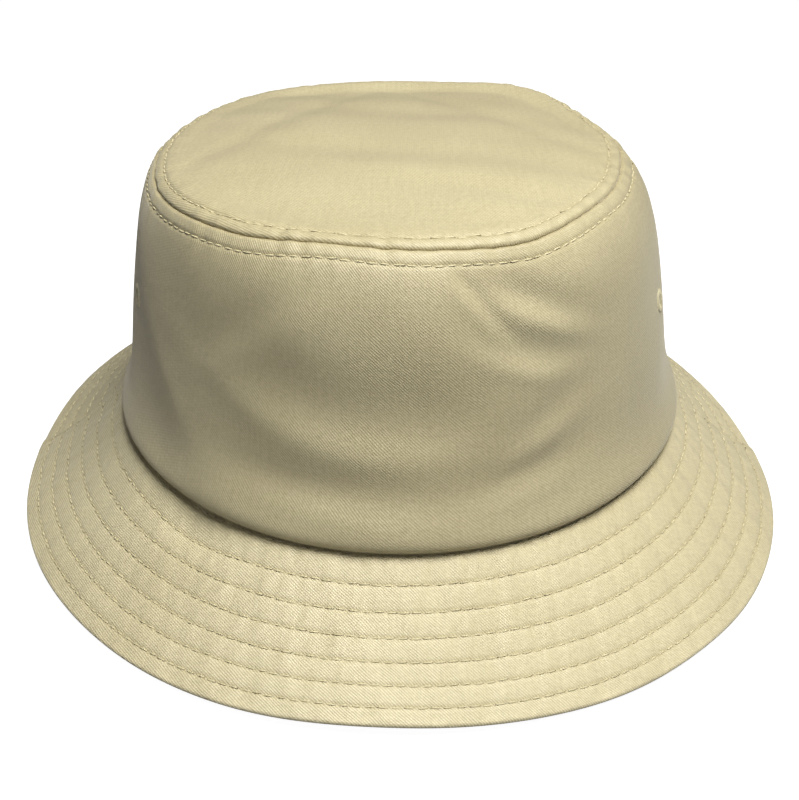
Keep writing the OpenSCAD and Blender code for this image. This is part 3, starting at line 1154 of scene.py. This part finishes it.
    def brim_row(self, number: int, material: bpy.types.Material) -> bpy.types.Object:
        """One row of the brim, on both its cloths; rows count from 0 at the headline."""
        rows = [self.row(self.brim_path(number, face), 20 + 3 * number + face.value, 0.37 * number) for face in Face]
        return self.piece(f"brim_stitches_{number + 1}", rows, material, f"brim_stitch_row_{number + 1}")

    def headline_row(self, band_face: float, material: bpy.types.Material) -> bpy.types.Object:
        """The headline seam, which shows inside as a row on the sweatband."""
        rows = [self.row(self.headline_path(2.8 * MM, band_face, Face.INSIDE), 71)]
        return self.piece("headline_stitches", rows, material, "headline_seam")


@dataclass
class Eyelets:
    """Four embroidered vent eyelets in the wall.

    Args:
        form: the form that they lie on.
    """

    form: HatForm
    turn_from_side_deg: float = 18.5
    height: float = 43.5 * MM
    outer_radius: float = 3.75 * MM
    vent_radius: float = 1.5 * MM
    half_thickness: float = 0.72 * MM
    proud: float = 0.38 * MM
    ridges: int = 36
    ridge_share: float = 0.09
    steps_per_ridge: int = 4
    section_steps: int = 14

    @property
    def station(self) -> float:
        """Distance up the cloth from the headline to the eyelets' middles."""
        return float(np.interp(self.height, self.form.profile_height, self.form.profile_station))

    def places(self) -> dict[str, tuple[float, float]]:
        """Each eyelet's name, with its turn and station."""
        gap = math.radians(self.turn_from_side_deg)
        turns = {
            "left_front": math.pi + gap,
            "left_rear": math.pi - gap,
            "right_front": FULL_TURN - gap,
            "right_rear": gap,
        }
        return {name: (turn, self.station) for name, turn in turns.items()}

    def model(self) -> bpy.types.Object:
        """Models one eyelet flat at the origin: a ring of radial satin stitches round the vent."""
        wide = (self.outer_radius - self.vent_radius) / 2
        bpy.ops.object.select_all(action="DESELECT")
        bpy.ops.mesh.primitive_torus_add(
            major_segments=self.ridges * self.steps_per_ridge,
            minor_segments=self.section_steps,
            major_radius=self.vent_radius + wide,
            minor_radius=wide,
        )
        ring = bpy.context.active_object
        bpy.ops.object.mode_set(mode="EDIT")
        bpy.ops.mesh.select_all(action="SELECT")
        bpy.ops.transform.resize(value=(1, 1, self.half_thickness / wide), center_override=(0, 0, 0))
        bpy.ops.object.mode_set(mode="OBJECT")
        draw = np.random.RandomState(12)
        pull = draw.uniform(-1, 1, self.ridges)
        for vertex in ring.data.vertices:
            x, y, z = vertex.co
            angle = math.atan2(y, x) % FULL_TURN
            ridge = int(angle / FULL_TURN * self.ridges + 0.5) % self.ridges
            swell = 1 + self.ridge_share * math.cos(self.ridges * angle)
            radius = math.hypot(x, y)
            away = (radius - self.vent_radius - wide) * (swell + 0.04 * pull[ridge])
            radius = self.vent_radius + wide + away
            vertex.co = (radius * math.cos(angle), radius * math.sin(angle), z * swell)
        return ring

    def build(self, material: bpy.types.Material) -> list[bpy.types.Object]:
        """Copies the modelled eyelet to its four places.

        Args:
            material: its thread.

        Returns:
            The four pieces.
        """
        ring = self.model()
        made = []
        for name, (turn, station) in self.places().items():
            where, up = np.array([turn]), np.array([station])
            normal = Vector(self.form.crown_normal(where, up)[0])
            across = self.form.crown(where + 2e-3, up)[0] - self.form.crown(where - 2e-3, up)[0]
            middle = Vector(self.form.crown(where, up)[0]) + normal * (self.proud - self.half_thickness)
            x_axis = Vector(across).normalized()
            y_axis = normal.cross(x_axis).normalized()
            turned = Matrix((x_axis, y_axis, normal)).transposed().to_4x4()
            mesh = ring.data.copy()
            mesh.name = f"eyelet_{name}_ring"
            mesh.transform(Matrix.Translation(middle) @ turned)
            piece = bpy.data.objects.new(f"eyelet_{name}_ring", mesh)
            bpy.context.scene.collection.objects.link(piece)
            smooth(piece, 60)
            made.append(attach(piece, material, "eyelet_thread", f"eyelet_{name}"))
        bpy.data.objects.remove(ring, do_unlink=True)
        return made


Colour = tuple[float, float, float, float]
Value = float | Sequence[float] | bpy.types.NodeSocket


def paint(red: int, green: int, blue: int) -> Colour:
    """A linear colour from display values of 0 to 255."""

    def linear(value: int) -> float:
        """One channel."""
        share = value / 255
        return share / 12.92 if share <= 0.04045 else ((share + 0.055) / 1.055) ** 2.4

    return linear(red), linear(green), linear(blue), 1.0


@dataclass
class Graph:
    """Adds nodes to a shader tree and links them."""

    tree: bpy.types.NodeTree

    def put(self, socket: bpy.types.NodeSocket, value: Value) -> None:
        """Links a socket, or sets its value."""
        if isinstance(value, bpy.types.NodeSocket):
            self.tree.links.new(value, socket)
        else:
            socket.default_value = value

    def add(self, kind: str, inputs: dict[str | int, Value] | None = None, **settings: object) -> bpy.types.Node:
        """Adds a node.

        Args:
            kind: the node's type.
            inputs: values or links for its inputs, by name or number.
            settings: its other settings.

        Returns:
            The node.
        """
        node = self.tree.nodes.new(kind)
        for key, value in settings.items():
            setattr(node, key, value)
        for key, value in (inputs or {}).items():
            self.put(node.inputs[key], value)
        return node

    def calc(self, operation: str, *values: Value, clamp: bool = False) -> bpy.types.NodeSocket:
        """One step of arithmetic."""
        return self.add("ShaderNodeMath", dict(enumerate(values)), operation=operation, use_clamp=clamp).outputs[0]

    def mix(self, factor: Value, first: Value, second: Value, mode: str = "MIX") -> bpy.types.NodeSocket:
        """Mixes two colours."""
        inputs = {0: factor, 6: first, 7: second}
        return self.add("ShaderNodeMix", inputs, data_type="RGBA", blend_type=mode).outputs[2]

    def stretched_noise(self, vector: Value, scale: Sequence[float], detail: float = 2.0) -> bpy.types.NodeSocket:
        """Noise that is drawn out along one direction."""
        moved = self.add("ShaderNodeVectorMath", {0: vector, 1: tuple(scale)}, operation="MULTIPLY").outputs[0]
        return self.add("ShaderNodeTexNoise", {"Vector": moved, "Scale": 1.0, "Detail": detail}).outputs[0]


def new_group(
    name: str, inputs: dict[str, str], outputs: dict[str, str]
) -> tuple[Graph, bpy.types.Node, bpy.types.Node]:
    """Starts a shader node group.

    Args:
        name: the group's name.
        inputs: each input's name and socket type.
        outputs: each output's name and socket type.

    Returns:
        Its graph, its input node and its output node.
    """
    tree = bpy.data.node_groups.new(name, "ShaderNodeTree")
    for direction, sockets in (("INPUT", inputs), ("OUTPUT", outputs)):
        for label, kind in sockets.items():
            tree.interface.new_socket(name=label, in_out=direction, socket_type=f"NodeSocket{kind}")
    graph = Graph(tree)
    return graph, graph.add("NodeGroupInput"), graph.add("NodeGroupOutput")


def twill_group() -> bpy.types.NodeTree:
    """Diagonal twill: ribs of floating yarn, streaks of uneven yarn, soft mottling of dust, and seams darkened with
    painted shade and dust.
    """
    inputs = {"Cloth": "Vector", "Place": "Vector", "Pitch": "Float", "Heading": "Float", "Seam": "Float"}
    inputs |= {"Light": "Color", "Dark": "Color", "Dust": "Color"}
    graph, given, made = new_group("twill_weave", inputs, {"Color": "Color", "Height": "Float", "Roughness": "Float"})
    cloth = given.outputs["Cloth"]
    turned = graph.add(
        "ShaderNodeVectorRotate", {"Vector": cloth, "Angle": given.outputs["Heading"]}, rotation_type="Z_AXIS"
    ).outputs[0]
    parts = graph.add("ShaderNodeSeparateXYZ", {0: turned})
    sway = graph.stretched_noise(cloth, (90.0, 90.0, 1.0), 1.0)
    phase = graph.calc("DIVIDE", parts.outputs[0], given.outputs["Pitch"])
    phase = graph.calc("ADD", phase, graph.calc("MULTIPLY", sway, 1.6))
    wave = graph.calc("MULTIPLY_ADD", graph.calc("SINE", graph.calc("MULTIPLY", phase, FULL_TURN)), 0.5, 0.5)
    along = graph.calc("DIVIDE", parts.outputs[1], graph.calc("MULTIPLY", given.outputs["Pitch"], 1.35))
    along = graph.calc("ADD", along, graph.calc("MULTIPLY", graph.calc("FLOOR", phase), 0.37))
    float_wave = graph.calc("MULTIPLY_ADD", graph.calc("SINE", graph.calc("MULTIPLY", along, FULL_TURN)), 0.5, 0.5)
    fibre = graph.stretched_noise(turned, (5200.0, 900.0, 1.0), 2.0)
    height = graph.calc("MULTIPLY", wave, graph.calc("MULTIPLY_ADD", float_wave, 0.35, 0.65))
    height = graph.calc("MULTIPLY_ADD", fibre, 0.25, height)
    warp = graph.stretched_noise(cloth, (1300.0, 60.0, 1.0), 2.0)
    weft = graph.stretched_noise(cloth, (60.0, 1500.0, 1.0), 2.0)
    streak = graph.calc("MULTIPLY", graph.calc("ADD", warp, weft), 0.5)
    ribbed = graph.calc("MULTIPLY_ADD", height, 0.55, 0.32)
    tone = graph.calc("MULTIPLY_ADD", graph.calc("SUBTRACT", streak, 0.5), 0.6, ribbed)
    fleck = graph.stretched_noise(turned, (1500.0, 620.0, 1.0), 1.0)
    tone = graph.calc("MULTIPLY_ADD", graph.calc("SUBTRACT", fleck, 0.5), 0.8, tone, clamp=True)
    colour = graph.mix(tone, given.outputs["Dark"], given.outputs["Light"])
    mottle = graph.add(
        "ShaderNodeTexNoise", {"Vector": given.outputs["Place"], "Scale": 34.0, "Detail": 3.0}
    ).outputs[0]
    patch = graph.add("ShaderNodeTexNoise", {"Vector": given.outputs["Place"], "Scale": 9.0, "Detail": 2.0}).outputs[0]
    dusty = graph.calc("MULTIPLY", graph.calc("ADD", mottle, patch), 0.5)
    dusted = graph.calc("MULTIPLY_ADD", dusty, 1.1, -0.35, clamp=True)
    colour = graph.mix(dusted, colour, given.outputs["Dust"], "MULTIPLY")
    # Painted shade with dust: the seam mask darkens the seams, the stitch rows and the hem.
    colour = graph.mix(graph.calc("MULTIPLY", given.outputs["Seam"], 0.85), colour, given.outputs["Dust"], "MULTIPLY")
    rough = graph.calc("MULTIPLY_ADD", height, -0.1, 0.6)
    graph.put(made.inputs["Color"], colour)
    graph.put(made.inputs["Height"], height)
    graph.put(made.inputs["Roughness"], rough)
    return graph.tree


def plain_weave_group() -> bpy.types.NodeTree:
    """Plain weave: yarns over and under each other, with fibre noise, and painted shade where the seam mask marks seams
    and edges.
    """
    inputs = {"Cloth": "Vector", "Pitch": "Float", "Seam": "Float", "Light": "Color", "Dark": "Color"}
    graph, given, made = new_group("plain_weave", inputs, {"Color": "Color", "Height": "Float", "Roughness": "Float"})
    parts = graph.add("ShaderNodeSeparateXYZ", {0: given.outputs["Cloth"]})
    waves = []
    for axis in (0, 1):
        phase = graph.calc("MULTIPLY", graph.calc("DIVIDE", parts.outputs[axis], given.outputs["Pitch"]), math.pi)
        waves.append(graph.calc("SINE", phase))
    height = graph.calc("MULTIPLY_ADD", graph.calc("MULTIPLY", waves[0], waves[1]), 0.5, 0.5)
    fibre = graph.stretched_noise(given.outputs["Cloth"], (2600.0, 2600.0, 1.0), 3.0)
    height = graph.calc("MULTIPLY_ADD", fibre, 0.4, height)
    slub = graph.stretched_noise(given.outputs["Cloth"], (60.0, 1400.0, 1.0), 2.0)
    woven = graph.calc("MULTIPLY", height, 0.7)
    tone = graph.calc("MULTIPLY_ADD", graph.calc("SUBTRACT", slub, 0.5), 1.2, woven, clamp=True)
    colour = graph.mix(tone, given.outputs["Dark"], given.outputs["Light"])
    # Painted shade along the seams and the tape's edges.
    colour = graph.mix(graph.calc("MULTIPLY", given.outputs["Seam"], 0.7), colour, given.outputs["Dark"], "MULTIPLY")
    graph.put(made.inputs["Color"], colour)
    graph.put(made.inputs["Height"], height)
    graph.put(made.inputs["Roughness"], graph.calc("MULTIPLY_ADD", height, -0.1, 0.9))
    return graph.tree


def thread_group() -> bpy.types.NodeTree:
    """Sewing thread: fine fibre, slow changes of tone along a row, and painted shade at the needle holes."""
    inputs = {"Place": "Vector", "Light": "Color", "Dark": "Color", "Seam": "Float", "Dust": "Color"}
    graph, given, made = new_group("thread_fibre", inputs, {"Color": "Color", "Height": "Float", "Roughness": "Float"})
    fibre = graph.add(
        "ShaderNodeTexNoise", {"Vector": given.outputs["Place"], "Scale": 3400.0, "Detail": 3.0}
    ).outputs[0]
    slow = graph.add("ShaderNodeTexNoise", {"Vector": given.outputs["Place"], "Scale": 150.0, "Detail": 2.0}).outputs[0]
    tone = graph.calc("MULTIPLY_ADD", fibre, 0.7, graph.calc("MULTIPLY_ADD", slow, 0.9, -0.3), clamp=True)
    colour = graph.mix(tone, given.outputs["Dark"], given.outputs["Light"])
    # Painted shade at the needle holes.
    colour = graph.mix(given.outputs["Seam"], colour, given.outputs["Dust"], "MULTIPLY")
    graph.put(made.inputs["Color"], colour)
    graph.put(made.inputs["Height"], fibre)
    graph.put(made.inputs["Roughness"], graph.calc("MULTIPLY_ADD", fibre, 0.3, 0.4))
    return graph.tree


@dataclass(frozen=True)
class Finish:
    """A cloth or thread finish: its group's values and the shader's own numbers.

    Args:
        name: the material's name.
        light: colour of the raised yarns.
        dark: colour between the yarns.
        sheen: how much soft fuzz catches the light.
        relief: height of the weave.
        dust: what the worn patches and the seams are multiplied by: dust in the patches, painted shade with dust in the
            seams, and painted shade at the thread's needle holes.
        pitch: distance between ribs or yarns.
        heading_deg: how far the ribs are turned.
        gloss: strength of the yarns' own shine.
    """

    name: str
    light: Colour
    dark: Colour
    sheen: float
    relief: float
    dust: Colour = (1.0, 1.0, 1.0, 1.0)
    pitch: float = 0.6 * MM
    heading_deg: float = 0.0
    gloss: float = 0.6

    def build(self, weave: bpy.types.NodeTree) -> bpy.types.Material:
        """Makes the material.

        Args:
            weave: the group that draws its surface.

        Returns:
            The material.
        """
        material = bpy.data.materials.new(self.name)
        material.use_nodes = True
        material.node_tree.nodes.clear()
        graph = Graph(material.node_tree)
        group = graph.add("ShaderNodeGroup")
        group.node_tree = weave
        space = graph.add("ShaderNodeTexCoord")
        values: dict[str, Value] = {
            "Cloth": space.outputs["UV"],
            "Place": space.outputs["Object"],
            "Pitch": self.pitch,
            "Heading": math.radians(self.heading_deg),
            "Light": self.light,
            "Dark": self.dark,
            "Dust": self.dust,
        }
        if "Seam" in group.inputs:
            values["Seam"] = graph.add("ShaderNodeAttribute", attribute_name="seam").outputs["Fac"]
        for label, value in values.items():
            if label in group.inputs:
                graph.put(group.inputs[label], value)
        bump = graph.add(
            "ShaderNodeBump", {"Height": group.outputs["Height"], "Strength": 1.0, "Distance": self.relief}
        )
        shader = graph.add(
            "ShaderNodeBsdfPrincipled",
            {
                "Base Color": group.outputs["Color"],
                "Roughness": group.outputs["Roughness"],
                "Normal": bump.outputs[0],
                "Sheen Weight": self.sheen,
                "Sheen Roughness": 0.45,
                "Sheen Tint": (1.0, 0.97, 0.88, 1.0),
                "Specular IOR Level": self.gloss,
            },
        )
        graph.add("ShaderNodeOutputMaterial", {"Surface": shader.outputs[0]})
        return material


# Lit and shaded copies of one khaki twill: the crown and under cloths get a darker copy than the brim, as painted
# shade.
SHADED_KHAKI_LIGHT = paint(194, 185, 150)
SHADED_KHAKI_DARK = paint(150, 140, 106)
LIT_KHAKI_LIGHT = paint(214, 205, 170)
LIT_KHAKI_DARK = paint(171, 161, 126)
# Multiplies the dusty mottling, and the seams as painted shade with dust.
KHAKI_SHADE_AND_DUST = (0.80, 0.77, 0.68, 1.0)
CROWN_TWILL = Finish("khaki_twill_crown", SHADED_KHAKI_LIGHT, SHADED_KHAKI_DARK, 0.25, 0.07 * MM, KHAKI_SHADE_AND_DUST, 0.66 * MM, -48.0)
BRIM_TWILL = Finish("khaki_twill_brim", LIT_KHAKI_LIGHT, LIT_KHAKI_DARK, 0.25, 0.07 * MM, KHAKI_SHADE_AND_DUST, 0.66 * MM, -48.0)
UNDER_TWILL = Finish("khaki_twill_under", SHADED_KHAKI_LIGHT, SHADED_KHAKI_DARK, 0.2, 0.05 * MM, KHAKI_SHADE_AND_DUST, 0.62 * MM, -27.0)
STIFFENER = Finish("interlining_white", paint(232, 230, 222), paint(205, 202, 192), 0.1, 0.05 * MM, pitch=0.9 * MM)
SEAM_TAPE = Finish("seam_tape_khaki", paint(206, 199, 166), paint(168, 160, 128), 0.15, 0.08 * MM, pitch=0.45 * MM)
BAND_COTTON = Finish(
    "sweatband_cotton", paint(196, 188, 154), paint(150, 142, 110), 0.25, 0.12 * MM, KHAKI_SHADE_AND_DUST, 0.9 * MM, 50.0
)
LABEL_RIBBON = Finish("label_ribbon_white", paint(240, 239, 234), paint(214, 212, 204), 0.1, 0.04 * MM, pitch=0.28 * MM)
# Painted shade for the needle holes at the stitches' ends.
HOLE_SHADE = (0.16, 0.13, 0.08, 1.0)
SEWING_THREAD = Finish("sewing_thread_khaki", paint(214, 205, 168), paint(160, 150, 112), 0.3, 0.05 * MM, HOLE_SHADE)
EYELET_THREAD = Finish("eyelet_thread_khaki", paint(216, 209, 174), paint(172, 164, 130), 0.35, 0.08 * MM)


@dataclass(frozen=True)
class Lamp:
    """One soft area light.

    Args:
        name: its name.
        place: where it stands.
        size: its width and height.
        power: its power in watts.
        colour: its tint.
    """

    name: str
    place: tuple[float, float, float]
    size: float
    power: float
    colour: tuple[float, float, float]

    def build(self, aim: Vector) -> None:
        """Places the light and turns it to the aim."""
        bpy.ops.object.light_add(type="AREA", location=self.place)
        lamp = bpy.context.active_object
        lamp.name = self.name
        lamp.data.shape = "SQUARE"
        lamp.data.size = self.size
        lamp.data.energy = self.power
        lamp.data.color = self.colour
        lamp.rotation_euler = (aim - Vector(self.place)).to_track_quat("-Z", "Y").to_euler()


@dataclass
class Studio:
    """The floor, the lights and the camera."""

    aim: Vector = field(default_factory=lambda: Vector((0.0, 0.0, 0.034)))
    distance: float = 0.39097
    elevation: float = math.radians(29.11)
    roll: float = math.radians(0.6)
    lens: float = 51.47
    shift_y: float = -0.0304
    floor_size: float = 14.0
    lamps: Sequence[Lamp] = (
        Lamp("key_softbox", (0.12, -0.23, 0.72), 0.34, 8.6, (1.0, 0.985, 0.96)),
        Lamp("left_fill", (-0.9, -0.5, 0.4), 0.5, 0.35, (1.0, 0.98, 0.92)),
        Lamp("right_fill", (0.9, -0.55, 0.35), 0.5, 0.5, (0.88, 0.93, 1.0)),
    )

    def build(self) -> None:
        """Sets the stage."""
        self.floor()
        for lamp in self.lamps:
            lamp.build(self.aim)
        self.world()
        self.camera()

    def floor(self) -> None:
        """A plain pale floor with a little unevenness of tone."""
        bpy.ops.mesh.primitive_plane_add(size=self.floor_size)
        floor = bpy.context.active_object
        floor.name = "studio_floor"
        material = bpy.data.materials.new("studio_floor_paper")
        material.use_nodes = True
        material.node_tree.nodes.clear()
        graph = Graph(material.node_tree)
        noise = graph.add("ShaderNodeTexNoise", {"Scale": 3.0}).outputs[0]
        colour = graph.mix(noise, (0.28, 0.28, 0.29, 1.0), (0.32, 0.32, 0.33, 1.0))
        shader = graph.add("ShaderNodeBsdfPrincipled", {"Base Color": colour, "Roughness": 0.9})
        sight = graph.add("ShaderNodeLightPath").outputs["Is Camera Ray"]
        glow = graph.add("ShaderNodeEmission", {"Color": (1, 1, 1, 1), "Strength": graph.calc("MULTIPLY", sight, 0.97)})
        both = graph.add("ShaderNodeAddShader", {0: shader.outputs[0], 1: glow.outputs[0]})
        graph.add("ShaderNodeOutputMaterial", {"Surface": both.outputs[0]})
        floor.data.materials.append(material)

    def world(self) -> None:
        """Faint light all round, and white beyond the floor."""
        world = bpy.data.worlds.new("studio_world")
        bpy.context.scene.world = world
        world.use_nodes = True
        world.node_tree.nodes.clear()
        graph = Graph(world.node_tree)
        sight = graph.add("ShaderNodeLightPath").outputs["Is Camera Ray"]
        strength = graph.calc("MULTIPLY_ADD", sight, 0.97, 0.03)
        sky = graph.add("ShaderNodeBackground", {"Color": (0.97, 0.98, 1.0, 1.0), "Strength": strength})
        graph.add("ShaderNodeOutputWorld", {"Surface": sky.outputs[0]})

    def camera(self) -> None:
        """The camera, a little above the brim and in front."""
        reach = Vector((0, -math.cos(self.elevation), math.sin(self.elevation))) * self.distance
        bpy.ops.object.camera_add(location=self.aim + reach)
        camera = bpy.context.active_object
        look = (-reach).to_track_quat("-Z", "Y").to_matrix() @ Matrix.Rotation(self.roll, 3, "Z")
        camera.rotation_euler = look.to_euler()
        camera.data.lens = self.lens
        camera.data.sensor_width = 36.0
        camera.data.shift_y = self.shift_y
        camera.data.clip_start = 0.01
        bpy.context.scene.camera = camera
        view = bpy.context.scene.view_settings
        view.view_transform = "Standard"
        view.look = "None"


def main() -> None:
    """Builds the hat and the studio."""
    logging.basicConfig(level=logging.INFO, format="%(name)s: %(message)s")
    form = HatForm()
    twill, plain, thread = twill_group(), plain_weave_group(), thread_group()
    eyelets = Eyelets(form)
    crown = Crown(form, list(eyelets.places().values()))
    crown_twill = CROWN_TWILL.build(twill)
    crown.tip(crown_twill)
    for half in Half:
        crown.wall(half, crown_twill)
    brim = Brim(form)
    brim_twill, under_twill, stiffener = BRIM_TWILL.build(twill), UNDER_TWILL.build(twill), STIFFENER.build(plain)
    for half in Half:
        upper, under = f"brim_upper_{half.word}", f"brim_under_{half.word}"
        brim.cover(f"{upper}_twill", half, Face.OUTSIDE, brim_twill, "twill_brim", upper)
        brim.cover(f"{under}_twill", half, Face.INSIDE, under_twill, "twill_under", under)
        brim.interlining(half, stiffener)
    lining = Lining(form)
    tape = SEAM_TAPE.build(plain)
    lining.tip_tape(tape)
    for side in Side:
        lining.side_tape(side, tape)
    lining.sweatband(BAND_COTTON.build(twill))
    lining.label(LABEL_RIBBON.build(plain))
    sewing = Sewing(form)
    khaki_thread = SEWING_THREAD.build(thread)
    sewing.crown_row("tip_stitches", form.tip_row * MM, 3, khaki_thread, "tip_topstitch")
    sewing.crown_row("wall_stitches", -form.wall_row * MM, 7, khaki_thread, "wall_topstitch")
    for number in range(form.row_count):
        sewing.brim_row(number, khaki_thread)
    sewing.headline_row(lining.band_depth + lining.band_thickness, khaki_thread)
    eyelets.build(EYELET_THREAD.build(thread))
    Studio().build()


if __name__ == "__main__":
    main()
